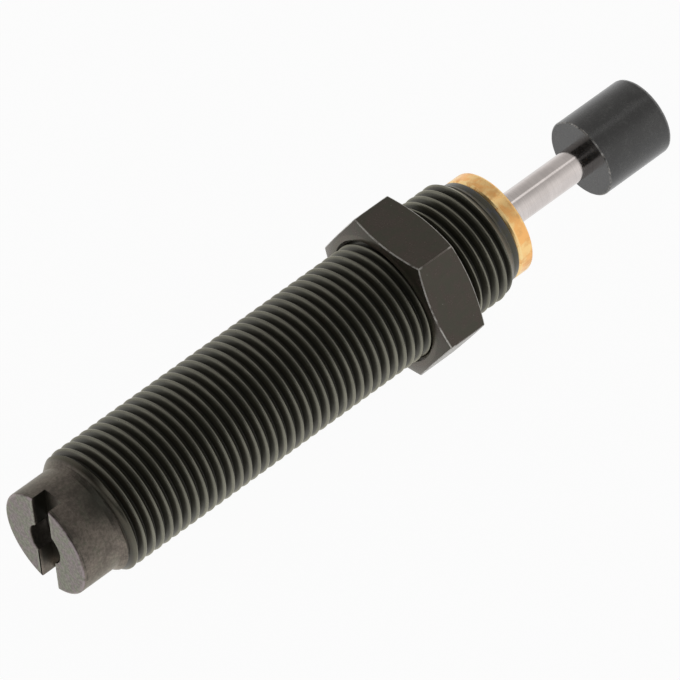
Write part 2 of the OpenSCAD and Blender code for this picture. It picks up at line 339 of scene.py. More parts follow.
class BodySizes(bpy.types.PropertyGroup):
    """Threaded body"""
    pitch: length("Thread pitch", 0.001, "Travel of the thread in one turn")
    thread_depth: length("Thread depth", 0.00058, "Depth of the thread's groove")
    thread_turn: FloatProperty(
        name="Thread start", default=math.radians(205), subtype="ANGLE", description="Turns the thread's helix about its axis")
    stub: length("Stub diameter", 0.0101, "Diameter of the plain stub at the slotted end")
    stub_length: length("Stub length", 0.004, "Length of the plain stub")
    rear_cone: length("Rear cone", 0.0011, "Length of the cone between stub and thread")
    neck: length("Neck diameter", 0.0102, "Diameter of the plain neck at the mouth")
    neck_length: length("Neck length", 0.0006, "Length of the plain neck")
    front_cone: length("Front cone", 0.0011, "Length of the cone between thread and neck")
    bore: length("Bore", 0.0086, "Diameter of the bore that holds the mechanism")
    floor: length("Closed end", 0.006, "Thickness of the closed end, stub included")
    rim: length("Rim round", 0.0002, "Round on the rim of the stub")
    slot_width: length("Slot width", 0.0021, "Width of the screwdriver slot")
    slot_depth: length("Slot depth", 0.0015, "Depth of the screwdriver slot")
    slot_turn: FloatProperty(
        name="Slot turn", default=math.radians(3), subtype="ANGLE", description="Turns the slot about the body's axis")
    recess: length("Recess diameter", 0.0038, "Diameter of the recess in the middle of the slot")
    recess_depth: length("Recess depth", 0.0032, "Depth of that recess")
    fill: length("Filling hole", 0.0022, "Diameter of the filling hole")
    black: tint("Blacking", (0.0310, 0.0300, 0.0200), "Blackened steel in the thread's flanks")
    # Rubbed steel on the crests; blackened_body also paints it lighter towards the underside as painted light
    rust: tint("Browned flanks", (0.030, 0.021, 0.013), "Reddish brown patches in the thread's flanks")
    wear_and_sheen: tint("Worn crests", (0.172, 0.168, 0.136), "Rubbed steel on the thread's crests")
    stub_brown: tint("Stub", (0.112, 0.094, 0.079), "Brownish steel of the stub")
    # This greenish black is painted shade in the slot, the recess and before the thread, and also darkens a ring
    # behind the rim
    green_black: tint("Green black", (0.030, 0.031, 0.023), "Greenish black left by the slot and before the thread")
    end_green: tint("Slotted end, green", (0.205, 0.212, 0.172), "Greenish grey of the slotted end")
    end_purple: tint("Slotted end, purple", (0.225, 0.188, 0.198), "Purplish grey of the slotted end")


class NutSizes(bpy.types.PropertyGroup):
    """Lock nut"""
    across_flats: length("Across flats", 0.014, "Width of the nut across its flats")
    face: length("Face diameter", 0.0132, "Diameter of the flat ring on each face")
    cone_angle: FloatProperty(
        name="Corner cone", default=math.radians(20), subtype="ANGLE", description="Angle of the cones on the corners")
    sink: length("Countersink", 0.00025, "Countersink of the hole")
    edge: length("Edge round", 0.00008, "Round on the nut's edges")
    green: tint("Greenish black", (0.052, 0.051, 0.036), "Blackened steel, greenish")
    brown: tint("Brownish black", (0.063, 0.049, 0.040), "Blackened steel, brownish")
    # Rubbed steel on the nut's edges and specks; on the edges it is also a painted highlight
    wear_and_sheen: tint("Worn edges", (0.60, 0.58, 0.54), "Rubbed steel on the nut's edges")


class RodSizes(bpy.types.PropertyGroup):
    """Rod, head and bearing"""
    head_round: length("Head front round", 0.00035, "Round on the head's striking face")
    head_chamfer: length("Head chamfer", 0.0001, "Chamfer on the rim of the head's back face")
    relief: length("Relief diameter", 0.00311, "Diameter of the relief where the rod enters the head")
    relief_depth: length("Relief depth", 0.0012, "Depth of that relief")
    rod: length("Rod diameter", 0.0031, "Diameter of the piston rod")
    tail: length("Rod tail", 0.002, "Diameter of the rod's tail inside the piston")
    screw: length("Rod screw", 0.0024, "Diameter of the rod's end inside the head")
    screw_length: length("Rod screw length", 0.004, "Length of the rod's end inside the head")
    flange: length("Flange thickness", 0.0017, "Thickness of the bearing's flange")
    flange_round: length("Flange round", 0.0002, "Round on the front rim of the flange")
    flange_chamfer: length("Flange chamfer", 0.00026, "Chamfer on the back rim of the flange")
    wiper: length("Wiper pocket", 0.0052, "Diameter of the wiper's pocket")
    wiper_depth: length("Wiper depth", 0.0009, "Depth of the wiper's pocket")
    o_ring: length("O-ring cord", 0.0007, "Depth of the O-ring's groove")
    brass: tint("Brass", (0.97, 0.655, 0.285), "Turned brass of the bearing")
    # Also used as a painted highlight along the flange's rear edge
    bright: tint("Bright brass", (0.97, 0.74, 0.36), "Rubbed brass on the bearing's rings and rear edge")
    steel: tint("Ground steel", (0.66, 0.61, 0.59), "Ground and polished steel of the rod")
    head_grey: tint("Head", (0.012, 0.012, 0.0115), "Smooth black of the head")


class SpringSizes(bpy.types.PropertyGroup):
    """Return spring"""
    wire: length("Wire diameter", 0.0005, "Diameter of the spring's wire")
    coil: length("Coil diameter", 0.0046, "Mean diameter of the coils")
    coils: IntProperty(name="Coils", default=13, min=4, description="Coils, closed end coils included")
    closed: IntProperty(name="Closed coils", default=1, min=1, description="Closed coils at each end")


# Finishes

def blackened_body(sizes):
    made = Finish("blackened_body")
    rear, front, crest = span("body_tube")
    depth = mm(sizes.thread_depth)
    stub, neck = mm(sizes.stub) / 2, mm(sizes.neck) / 2
    stub_end, neck_start = rear + mm(sizes.stub_length), front - mm(sizes.neck_length)
    clouds = made.noise(1.8, 4, 0.6)
    blotches = made.noise(0.9, 4, 0.65)
    spots = made.noise(0.3, 3, 0.65)
    grain = made.noise(0.12, 3)
    rings = made.turning(0.07)

    # The cones take the crests down, so a crest is where the metal reaches the cone's own height
    from_rear = stub + (made.x - stub_end) * ((crest - stub) / mm(sizes.rear_cone))
    from_front = neck + (neck_start - made.x) * ((crest - neck) / mm(sizes.front_cone))
    local_crest = from_rear.at_most(from_front).at_most(crest)
    ridges = (local_crest - (crest - depth)).rise(0.08, 0.32)
    height = 1 - (local_crest - made.radius) / depth
    groove = height.rise(0.7, 0.0) * ridges
    flank = made.mix(blotches.rise(0.35, 0.75), sizes.black, shade(sizes.black, 1.7))
    flank = made.mix(clouds.rise(0.5, 0.75) * 0.7, flank, sizes.rust)
    flank = made.mix(made.x.rise(stub_end + 5, stub_end + 1) * blotches.rise(0.3, 0.6), flank, sizes.rust)
    base = made.mix(groove, flank, shade(sizes.black, 0.3))
    rubbed = height.rise(0.56, 0.9) * ridges * (0.6 + 0.55 * clouds)
    rubbed = rubbed * (1 - 0.8 * made.x.rise(0, 1) * (crest - local_crest).rise(0.08, 0.25))
    # Painted light: the rubbed crests are painted lighter towards the underside
    wear_and_sheen = made.mix(made.z.rise(3.5, -1.0), sizes.wear_and_sheen, shade(sizes.wear_and_sheen, 1.6))
    wear_and_sheen = made.mix(made.x.rise(neck_start - 5, neck_start - 4), wear_and_sheen, shade(sizes.wear_and_sheen, 1.25))
    base = made.mix(rubbed * made.x.rise(stub_end + 0.2, stub_end + 1.9), base, wear_and_sheen)

    plain = (1 - ridges) * made.x.rise(0, -1)
    brown = made.mix(clouds.rise(0.3, 0.7), shade(sizes.stub_brown, 0.7), shade(sizes.stub_brown, 1.3))
    olive = (sizes.stub_brown[0] * 0.82, sizes.stub_brown[1] * 0.92, sizes.stub_brown[2] * 0.85)
    brown = made.mix(blotches.rise(0.5, 0.7), brown, olive)
    brown = made.mix(spots.rise(0.35, 0.68), made.tone(brown, 0.76), made.tone(brown, 1.2))
    brown = made.mix(rings.rise(0.5, 0.75) * 0.7, brown, made.tone(brown, 1.4))
    # Painted light: the stub is painted lighter towards the underside
    brown = made.mix(made.z.rise(4.2, -1.0), brown, made.tone(brown, 1.85))
    # Painted shade: greenish black on the upper side of the stub just before the thread
    shade_before_thread = made.y.band(-2.4, 3.4) * made.z.rise(0.5, 3.2) * made.x.rise(stub_end - 1.9, stub_end + 0.3)
    brown = made.mix(shade_before_thread * 0.85, brown, sizes.green_black)
    base = made.mix(plain, base, brown)

    end = made.x.rise(rear + 0.06, rear + 0.01)
    grey = made.mix(blotches.rise(0.42, 0.56), sizes.end_green, sizes.end_purple)
    grey = made.mix(spots.rise(0.38, 0.62), made.tone(grey, 0.72), made.tone(grey, 1.2))
    turn = sizes.slot_turn
    across = made.y * math.cos(turn) - made.z * math.sin(turn)
    half_slot, recess = mm(sizes.slot_width) / 2, mm(sizes.recess) / 2
    lips = abs(across).rise(half_slot + 0.45, half_slot + 0.1)
    grey = made.mix(lips * spots.rise(0.35, 0.6), grey, made.tone(sizes.end_green, 1.45))
    base = made.mix(end, base, grey)
    rim = made.radius.rise(stub - 0.3, stub - 0.12) * made.x.rise(rear + 0.16, rear + 0.04)
    base = made.mix(rim * blotches.rise(0.3, 0.55), base, made.tone(sizes.end_purple, 1.6))
    # A blotchy dark ring on the stub just behind the rim's round
    dark_ring = made.x.band(rear + 0.3, 0.12) * blotches.rise(0.62, 0.42) * made.radius.rise(stub - 0.1, stub - 0.03)
    base = made.mix(dark_ring * 0.7, base, sizes.green_black)

    # Painted shade: the slot's walls and floor and the recess are painted dark, less so towards the slot's top and
    # bottom ends
    slot_floor = rear + mm(sizes.slot_depth)
    in_slot = abs(across).rise(half_slot + 0.02, half_slot + 0.005)
    in_slot = in_slot * made.x.rise(rear + 0.1, rear + 0.45) * made.x.rise(slot_floor + 0.06, slot_floor + 0.01)
    open_end = (made.z.rise(2.9, 4.3) * across.rise(0.95, 0.2)).at_least(made.z.rise(-2.8, -4.4) * 0.8)
    in_recess = made.radius.rise(recess + 0.05, recess - 0.03)
    inside = (in_slot * (1 - 0.9 * open_end)).at_least(in_recess) * made.x.rise(stub_end + 0.4, stub_end)
    base = made.mix(inside * 0.9, base, shade(sizes.green_black, 0.6))

    smooth_neck = made.x.rise(neck_start - 0.5, neck_start - 0.3)
    blue = (sizes.black[0] * 1.5, sizes.black[1] * 1.7, sizes.black[2] * 3.2)
    base = made.mix(smooth_neck, base, made.mix(blotches.rise(0.5, 0.62), shade(sizes.black, 1.6), blue))
    mouth = made.x.band(front - 0.04, 0.1)
    base = made.mix(mouth * (0.25 + 0.5 * clouds), base, sizes.wear_and_sheen)

    metallic = 0.25 + 0.6 * rubbed.at_least(plain * 0.7)
    roughness = 0.30 + 0.22 * groove + 0.16 * (grain - 0.5) + 0.08 * plain
    relief = grain * 0.6 + rings * 0.6 + blotches * 0.4
    warm = {"Specular Tint": colour((1, 0.97, 0.86)), "IOR": 1.6}
    return made.surface(base, metallic, roughness, made.bump(relief, 0.012, 0.6), **warm)


def blackened_nut(sizes):
    made = Finish("blackened_nut")
    clouds = made.noise(1.1, 4, 0.6)
    grain = made.noise(0.15, 3)
    streaks = made.noise(0.35, 4, 0.6, along=5)
    base = made.mix(clouds.rise(0.38, 0.62), sizes.green, sizes.brown)
    base = made.mix(grain.rise(0.3, 0.7), made.tone(base, 0.93), made.tone(base, 1.07))
    base = made.mix(streaks.rise(0.5, 0.8) * 0.25, base, shade(sizes.brown, 1.5))
    specks = made.noise(0.22, 2).rise(0.72, 0.78)
    base = made.mix(specks * 0.3, base, sizes.wear_and_sheen)
    rear = span("lock_nut")[0]
    base = made.mix(made.x.rise(rear + 0.06, rear + 0.01), base, made.tone(base, 1.7))
    roughness = 0.25 + 0.1 * (grain - 0.5) + 0.12 * (clouds - 0.5)
    normal = made.bump(grain * 0.5 + streaks * 0.5, 0.008, 0.5)
    warm = {"Specular Tint": colour((1, 0.94, 0.84)), "IOR": 1.6}
    return made.surface(base, 0.35, roughness, normal, **warm)


def nut_edge_wear_and_highlight(sizes):
    """Rubbed steel with a painted highlight: brightest on the arcs of the rear cone, weaker at the front and dull
    along the corners
    """
    made = Finish("nut_edge_wear_and_highlight")
    rear, front, _ = span("lock_nut")
    arcs = made.x.rise(rear + 1.15, rear + 0.85).at_least(0.55 * made.x.rise(front - 1.15, front - 0.85))
    clouds = made.noise(0.8, 4, 0.65)
    grain = made.noise(0.1, 3)
    dull = shade(sizes.brown, 1.7)
    base = made.mix((0.15 + 0.85 * arcs) * clouds.rise(0.25, 0.55), dull, sizes.wear_and_sheen)
    roughness = 0.28 + 0.2 * grain
    return made.surface(base, 0.5, roughness, made.bump(grain, 0.008, 0.5))


def turned_brass(sizes):
    made = Finish("turned_brass")
    _, front, flange = span("bearing")
    clouds = made.noise(1.3, 4, 0.6)
    rings = made.turning(0.06)
    stains = made.noise(0.9, 3, 0.6)
    orange = (sizes.brass[0] * 0.98, sizes.brass[1] * 0.78, sizes.brass[2] * 0.64)
    base = made.mix(clouds.rise(0.44, 0.56), sizes.brass, orange)
    base = made.mix(stains.rise(0.46, 0.66) * 0.6, base, made.tone(orange, 0.80))
    base = made.mix(rings.rise(0.55, 0.8) * 0.4, base, sizes.bright)
    back = front - mm(sizes.flange)
    # Painted highlight: blotchy bright brass along the flange's rear edge
    rear_edge_highlight = made.x.rise(back + 0.5, back + 0.3) * made.radius.rise(flange - 0.4, flange - 0.2)
    base = made.mix(rear_edge_highlight * stains.rise(0.62, 0.45) * 0.7, base, sizes.bright)
    roughness = 0.2 + 0.2 * rings + 0.12 * stains.rise(0.5, 0.75)
    return made.surface(base, 1, roughness, made.bump(rings, 0.01, 0.5))


def ground_steel(sizes):
    made = Finish("ground_steel")
    rings = made.turning(0.03, 3)
    bands = made.turning(0.22, 3)
    clouds = made.noise(1.8, 3, 0.6)
    base = made.mix(clouds.rise(0.35, 0.65), shade(sizes.steel, 0.94), shade(sizes.steel, 1.04))
    base = made.mix(rings.rise(0.45, 0.7) * 0.5, base, shade(sizes.steel, 0.78))
    base = made.mix(bands.rise(0.5, 0.7) * 0.5, base, shade(sizes.steel, 0.84))
    roughness = 0.08 + 0.06 * rings
    normal = made.bump(rings, 0.0016, 0.5)
    return made.surface(base, 1, roughness, normal)


def smooth_head(sizes):
    """Smooth black, which mirrors the rod faintly in its back face"""
    made = Finish("smooth_head")
    back, front, radius = span("rod_head")
    grain = made.noise(0.1, 3)
    clouds = made.noise(2.2, 4, 0.6)
    blotches = made.noise(0.8, 4, 0.65)
    spots = made.noise(0.25, 3, 0.6)
    rings = made.turning(0.05)
    base = made.mix(clouds.rise(0.35, 0.65), shade(sizes.head_grey, 0.65), shade(sizes.head_grey, 1.3))
    base = made.mix(blotches.rise(0.42, 0.62), base, made.tone(base, 2.2))
    base = made.mix(rings.rise(0.5, 0.85) * 0.35, base, shade(sizes.head_grey, 1.8))
    back_face = made.x.rise(back + 0.1, back + 0.02) * made.radius.rise(mm(sizes.relief) / 2, mm(sizes.relief) / 2 + 0.1)
    base = made.mix(back_face * (0.6 + 0.4 * blotches.rise(0.4, 0.6)), base, shade(sizes.head_grey, 1.9))
    # Painted highlight: a thin light line round the back rim; fainter pale flecks near the front rim are mixed in the
    # same way
    edge = made.x.band(back + 0.05, 0.12) * made.radius.rise(radius - 0.2, radius - 0.05)
    front_edge = made.x.band(front - 0.15, 0.3) * made.radius.rise(radius - 0.4, radius - 0.15) * 0.4
    base = made.mix(edge.at_least(front_edge) * blotches.rise(0.3, 0.6), base, (0.42, 0.42, 0.41))
    # Painted shade: the relief's wall and the hole behind it are painted darker
    relief = made.radius.rise(mm(sizes.relief) / 2 + 0.05, mm(sizes.relief) / 2 - 0.05)
    base = made.mix(relief * made.x.rise(front - 0.5, front - 1.5), base, shade(sizes.head_grey, 0.5))
    base = made.mix(spots.rise(0.48, 0.62) * 0.8, base, made.tone(base, 2.4))
    roughness = 0.21 + 0.14 * (grain - 0.5) + 0.2 * (blotches - 0.4)
    normal = made.bump(grain * 0.8 + rings + spots, 0.006, 0.6)
    return made.surface(base, 0, roughness, normal, IOR=1.68)


def turned_steel():
    made = Finish("turned_steel")
    rings = made.turning(0.07)
    clouds = made.noise(1.4, 3)
    base = made.mix(clouds.rise(0.3, 0.7), (0.50, 0.50, 0.51), (0.62, 0.62, 0.63))
    base = made.mix(rings.rise(0.4, 0.8) * 0.4, base, (0.40, 0.40, 0.41))
    return made.surface(base, 1, 0.28 + 0.2 * rings, made.bump(rings, 0.006, 0.5))


def spring_wire():
    made = Finish("spring_wire")
    clouds = made.noise(0.5, 4)
    drawn = made.noise(0.08, 2)
    base = made.mix(clouds.rise(0.3, 0.7), (0.36, 0.35, 0.34), (0.50, 0.49, 0.47))
    return made.surface(base, 1, 0.30 + 0.15 * drawn, made.bump(drawn, 0.004, 0.5))


def closed_cell_foam():
    made = Finish("closed_cell_foam")
    cells = made.node(
        "ShaderNodeTexVoronoi", {"feature": "DISTANCE_TO_EDGE"}, {"Vector": made.place, "Scale": 5.5}, "Distance")
    walls = cells.rise(0.12, 0.0)
    base = made.mix(walls, (0.42, 0.38, 0.28), (0.62, 0.58, 0.46))
    base = made.mix(made.noise(1.2, 3).rise(0.45, 0.7) * 0.4, base, (0.36, 0.30, 0.20))
    return made.surface(base, 0, 0.82 + 0.1 * walls, made.bump(walls, 0.05, 0.8))


def seal_rubber():
    made = Finish("seal_rubber")
    grain = made.noise(0.09, 3)
    dust = made.noise(0.8, 4).rise(0.5, 0.8)
    base = made.mix(dust, (0.018, 0.018, 0.019), (0.040, 0.039, 0.037))
    return made.surface(base, 0, 0.52 + 0.2 * (grain - 0.5), made.bump(grain, 0.006, 0.6))


# Pieces

class SHOCK_OT_body(bpy.types.Operator):
    """Makes the threaded body with its slotted stub"""
    bl_idname = "shock_absorber.body"
    bl_label = "Threaded body"

    def execute(self, context):
        sizes = context.scene.shock_body
        rear, front, crest = span("body_tube")
        thread_rear = rear + mm(sizes.stub_length)
        thread_front = front - mm(sizes.neck_length)
        bm = self.thread(sizes, crest, thread_rear, thread_front)
        self.run_out(bm, sizes, crest, thread_rear, thread_front)
        self.shell(bm, sizes, rear, front, thread_rear, thread_front)
        self.slot(bm, sizes, rear)
        piece("threaded_body", bm, "body", ["body_tube"], [blackened_body(sizes)])
        return {"FINISHED"}

    def thread(self, sizes, crest, thread_rear, thread_front, steps=128):
        """The helix: one long tooth profile, turned once and moved on by a pitch"""
        pitch, depth = mm(sizes.pitch), mm(sizes.thread_depth)
        tooth = [
            (0.0, 0.0), (0.06, 0.03), (0.39, 0.90), (0.43, 0.98), (0.47, 1.0),
            (0.53, 1.0), (0.57, 0.98), (0.61, 0.90), (0.94, 0.03)]
        first = math.floor((thread_rear - 2 * pitch) / pitch)
        last = math.ceil((thread_front + pitch) / pitch)
        bm = bmesh.new()
        verts = []
        for turn in range(first, last):
            for share, height in tooth:
                radius = crest - depth * (1 - height)
                verts.append(bm.verts.new(((turn + share) * pitch, 0, radius)))
        edges = [bm.edges.new(pair) for pair in zip(verts, verts[1:])]
        bmesh.ops.rotate(
            bm, verts=verts, cent=(0, 0, 0), matrix=Matrix.Rotation(sizes.thread_turn, 3, "X"))
        bmesh.ops.spin(
            bm, geom=verts + edges, cent=(0, 0, 0), axis=(1, 0, 0), angle=2 * math.pi, steps=steps,
            dvec=(pitch / steps, 0, 0), use_merge=False)
        bmesh.ops.remove_doubles(bm, verts=bm.verts, dist=1e-4)
        cut(bm, (thread_rear, 0, 0), (-1, 0, 0), clear=True)
        cut(bm, (thread_front, 0, 0), (1, 0, 0), clear=True)
        return bm

    def run_out(self, bm, sizes, crest, thread_rear, thread_front):
        """Cuts the cones at both ends of the thread"""
        rear_cone, front_cone = mm(sizes.rear_cone), mm(sizes.front_cone)
        for share in range(1, 13):
            cut(bm, (thread_rear + rear_cone * share / 12, 0, 0), (1, 0, 0))
            cut(bm, (thread_front - front_cone * share / 12, 0, 0), (1, 0, 0))
        for vert in bm.verts:
            from_rear = (vert.co.x - thread_rear) / rear_cone
            from_front = (thread_front - vert.co.x) / front_cone
            limit = min(
                mm(sizes.stub) / 2 + (crest - mm(sizes.stub) / 2) * from_rear,
                mm(sizes.neck) / 2 + (crest - mm(sizes.neck) / 2) * from_front)
            if math.hypot(vert.co.y, vert.co.z) > limit:
                set_radius(vert, limit)

    def shell(self, bm, sizes, rear, front, thread_rear, thread_front, steps=128):
        """Draws stub, slotted end, recess, bore, mouth and neck on from the thread's ends"""
        for place in (thread_rear, thread_front):
            self.even_out(bm, place, sizes.thread_turn, steps, mm(sizes.pitch))
        stub, neck, bore = mm(sizes.stub) / 2, mm(sizes.neck) / 2, mm(sizes.bore) / 2
        recess, fill, rim = mm(sizes.recess) / 2, mm(sizes.fill) / 2, mm(sizes.rim)
        recess_floor, floor = rear + mm(sizes.recess_depth), rear + mm(sizes.floor)
        outline = [(stub, rear + rim)]
        for share in (1, 2, 3, 4):
            angle = math.radians(22.5 * share)
            outline.append((stub - rim * (1 - math.cos(angle)), rear + rim * (1 - math.sin(angle))))
        outline += [(recess + 0.12, rear), (recess + 0.035, rear + 0.035), (recess, rear + 0.12)]
        outline += [(recess, recess_floor), (fill, recess_floor), (fill, floor), (bore, floor)]
        outline += [(bore, front), (neck - 0.1, front), (neck - 0.03, front - 0.03), (neck, front - 0.1)]
        rim_edges = draw_on(bm, rim_at(bm, thread_rear), outline)
        bmesh.ops.bridge_loops(bm, edges=rim_edges + rim_at(bm, thread_front))
        bmesh.ops.recalc_face_normals(bm, faces=bm.faces)
        for face in bm.faces:
            face.smooth = True
        for edge in bm.edges:
            edge.smooth = edge.calc_face_angle(0) < math.radians(24)
        plain = [face for face in bm.faces if max(edge.calc_length() for edge in face.edges) > 0.6]
        crease_round(bm, plain)

    def even_out(self, bm, place, turn, steps, pitch):
        """Welds the extra points of a cut rim to its evenly spaced ones"""
        step = 2 * math.pi / steps
        even, odd = {}, []
        for vert in {v for e in rim_at(bm, place) for v in e.verts}:
            share = (math.atan2(vert.co.z, vert.co.y) - turn) / step
            if abs(share - round(share)) < 0.002:
                even[round(share) % steps] = vert
            else:
                odd.append((round(share) % steps, vert))
        bmesh.ops.weld_verts(bm, targetmap={vert: even[share] for share, vert in odd})

    def slot(self, bm, sizes, rear):
        """Cuts the slot through the stub, with a small break on its edges"""
        half, floor, small = mm(sizes.slot_width) / 2, rear + mm(sizes.slot_depth), 0.07
        section = [
            (-half - small, rear), (-half, rear + small), (-half, floor),
            (half, floor), (half, rear + small), (half + small, rear)]
        across = Vector((0, math.cos(sizes.slot_turn), -math.sin(sizes.slot_turn)))
        upward = Vector((0, math.sin(sizes.slot_turn), math.cos(sizes.slot_turn)))

        def at(side, place):
            return Vector((place, 0, 0)) + side * across

        def inside(vert):
            return vert.co.x < floor + 1e-4

        cut(bm, at(0, floor), (1, 0, 0))
        for (side, place), (next_side, next_place) in zip(section, section[1:]):
            if place != floor or next_place != floor:
                end = [v for v in bm.verts if inside(v)]
                end += [e for e in bm.edges if all(inside(v) for v in e.verts)]
                end += [f for f in bm.faces if all(inside(v) for v in f.verts)]
                direction = at(next_side, next_place) - at(side, place)
                cut(bm, at(side, place), direction.cross(upward), end)
        bmesh.ops.remove_doubles(bm, verts=[v for v in bm.verts if inside(v)], dist=2e-3)

        def depth_in(face):
            centre = face.calc_center_median()
            side = abs(centre.dot(across))
            return centre.x < floor - 1e-5 and side < half + max(0, small - (centre.x - rear)) - 1e-5

        bmesh.ops.delete(bm, geom=[face for face in bm.faces if depth_in(face)], context="FACES")
        for side, place in section[1:-1]:
            for way in (1, -1):
                ends = [
                    v for v in bm.verts
                    if (v.co - at(side, place)).cross(upward).length < 1e-3 and v.co.dot(upward) * way > 0]
                if len(ends) != 2:
                    raise RuntimeError("The slot's corner has %d ends at %.2f, %.2f" % (len(ends), side, place))
                bm.edges.new(ends)
        for (side, place), (next_side, next_place) in zip(section, section[1:]):
            start, end = at(side, place), at(next_side, next_place)
            normal = (end - start).cross(upward).normalized()
            for way in (1, -1):
                def on_wall(vert):
                    share = (vert.co - start).dot(end - start) / (end - start).length_squared
                    level = abs((vert.co - start).dot(normal)) < 1e-3
                    return level and -1e-3 < share < 1.001 and vert.co.dot(upward) * way > 0
                edges = [e for e in bm.edges if len(e.link_faces) < 2 and all(on_wall(v) for v in e.verts)]
                made = bmesh.ops.edgeloop_fill(bm, edges=edges)["faces"]
                for face in made:
                    face.smooth = False
        bmesh.ops.recalc_face_normals(bm, faces=bm.faces)


class SHOCK_OT_nut(bpy.types.Operator):
    """Makes the lock nut from a turned blank with six flats"""
    bl_idname = "shock_absorber.nut"
    bl_label = "Lock nut"

    def execute(self, context):
        sizes = context.scene.shock_nut
        rear, front, _ = span("lock_nut")
        thread = span("body_tube")[2] + 0.05
        face, sink, flat = mm(sizes.face) / 2, mm(sizes.sink), mm(sizes.across_flats) / 2
        blank = flat / math.cos(math.pi / 6) + 0.5
        cone = (blank - face) * math.tan(sizes.cone_angle)
        bm = turned([
            (thread + sink, rear), (face, rear), (blank, rear + cone), (blank, front - cone),
            (face, front), (thread + sink, front), (thread, front - sink), (thread, rear + sink)])
        for side in range(6):
            angle = math.radians(60 * side - 90)
            outward = Vector((0, math.cos(angle), math.sin(angle)))
            edges = cut(bm, outward * flat, outward, clear=True)
            for made in bmesh.ops.edgeloop_fill(bm, edges=edges)["faces"]:
                made.normal_update()
        bmesh.ops.recalc_face_normals(bm, faces=bm.faces)
        flats = {made for made in bm.faces if abs(made.normal.x) < 0.01 and made.calc_center_median().yz.length > face}
        rim = [edge for edge in bm.edges if flats & set(edge.link_faces)]
        rounds = round_edges(bm, rim, mm(sizes.edge), 2)
        rounds = [made for made in rounds if made.is_valid]
        crease_round(bm, rounds)
        for made in rounds:
            made.material_index = 1
            made.smooth = True
        finishes = [blackened_nut(sizes), nut_edge_wear_and_highlight(sizes)]
        piece("nut", bm, "lock_nut", ["lock_nut"], finishes)
        return {"FINISHED"}


class SHOCK_OT_bearing(bpy.types.Operator):
    """Makes the brass bearing and the wiper in its mouth"""
    bl_idname = "shock_absorber.bearing"
    bl_label = "Bearing and wiper"

    def execute(self, context):
        sizes = context.scene.shock_rod
        rear, front, flange = span("bearing")
        mouth = front - mm(sizes.flange)
        fitted = mm(context.scene.shock_body.bore) / 2 - 0.05
        hole, pocket = mm(sizes.rod) / 2 + 0.05, mm(sizes.wiper) / 2
        cord, size, chamfer = mm(sizes.o_ring), mm(sizes.flange_round), mm(sizes.flange_chamfer)
        groove = (rear + mouth) / 2 - 0.7 * cord
        bm = turned([
            (hole, rear), (fitted, rear), (fitted, groove), (fitted - cord, groove),
            (fitted - cord, groove + 1.4 * cord), (fitted, groove + 1.4 * cord), (fitted, mouth),
            (flange - chamfer, mouth), (flange, mouth + chamfer), (flange, front, size), (pocket, front, 0.08),
            (pocket, front - mm(sizes.wiper_depth)), (hole, front - mm(sizes.wiper_depth))])
        piece("brass_bearing", bm, "body", ["bearing"], [turned_brass(sizes)])

        back, lip, outer = span("wiper_ring")
        inner = hole + 0.05
        bm = turned([
            (inner, back), (outer, back), (outer, lip - 0.22, 0.06), (inner + 0.45, lip - 0.22),
            (inner + 0.2, lip, 0.04), (inner, lip)])
        piece("wiper", bm, "body", ["wiper_ring"], [seal_rubber()])
        return {"FINISHED"}


class SHOCK_OT_rod(bpy.types.Operator):
    """Makes the ground piston rod"""
    bl_idname = "shock_absorber.rod"
    bl_label = "Piston rod"

    def execute(self, context):
        sizes = context.scene.shock_rod
        rear, front, radius = span("piston_rod")
        shoulder = front - mm(sizes.screw_length)
        piston_front = span("piston")[1]
        tail, screw = mm(sizes.tail) / 2, mm(sizes.screw) / 2
        bm = turned([
            (0, rear), (tail, rear, 0.08), (tail, piston_front), (radius, piston_front, 0.08),
            (radius, shoulder, 0.1), (screw, shoulder), (screw, front, 0.2), (0, front)])
        piece("rod", bm, "rod", ["piston_rod"], [ground_steel(sizes)])
        return {"FINISHED"}


class SHOCK_OT_head(bpy.types.Operator):
    """Makes the striking head, with a hairline gap round the rod"""
    bl_idname = "shock_absorber.head"
    bl_label = "Striking head"

    def execute(self, context):
        sizes = context.scene.shock_rod
        back, front, radius = span("rod_head")
        rod_front = span("piston_rod")[1]
        relief, screw = mm(sizes.relief) / 2, mm(sizes.screw) / 2 + 0.05
        shoulder, chamfer = back + mm(sizes.relief_depth), mm(sizes.head_chamfer)
        bm = turned([
            (0, rod_front + 0.05), (screw, rod_front + 0.05), (screw, shoulder), (relief, shoulder),
            (relief, back), (radius - chamfer, back), (radius, back + chamfer),
            (radius, front, mm(sizes.head_round)), (0, front)])
        piece("striking_head", bm, "rod", ["rod_head"], [smooth_head(sizes)])
        return {"FINISHED"}


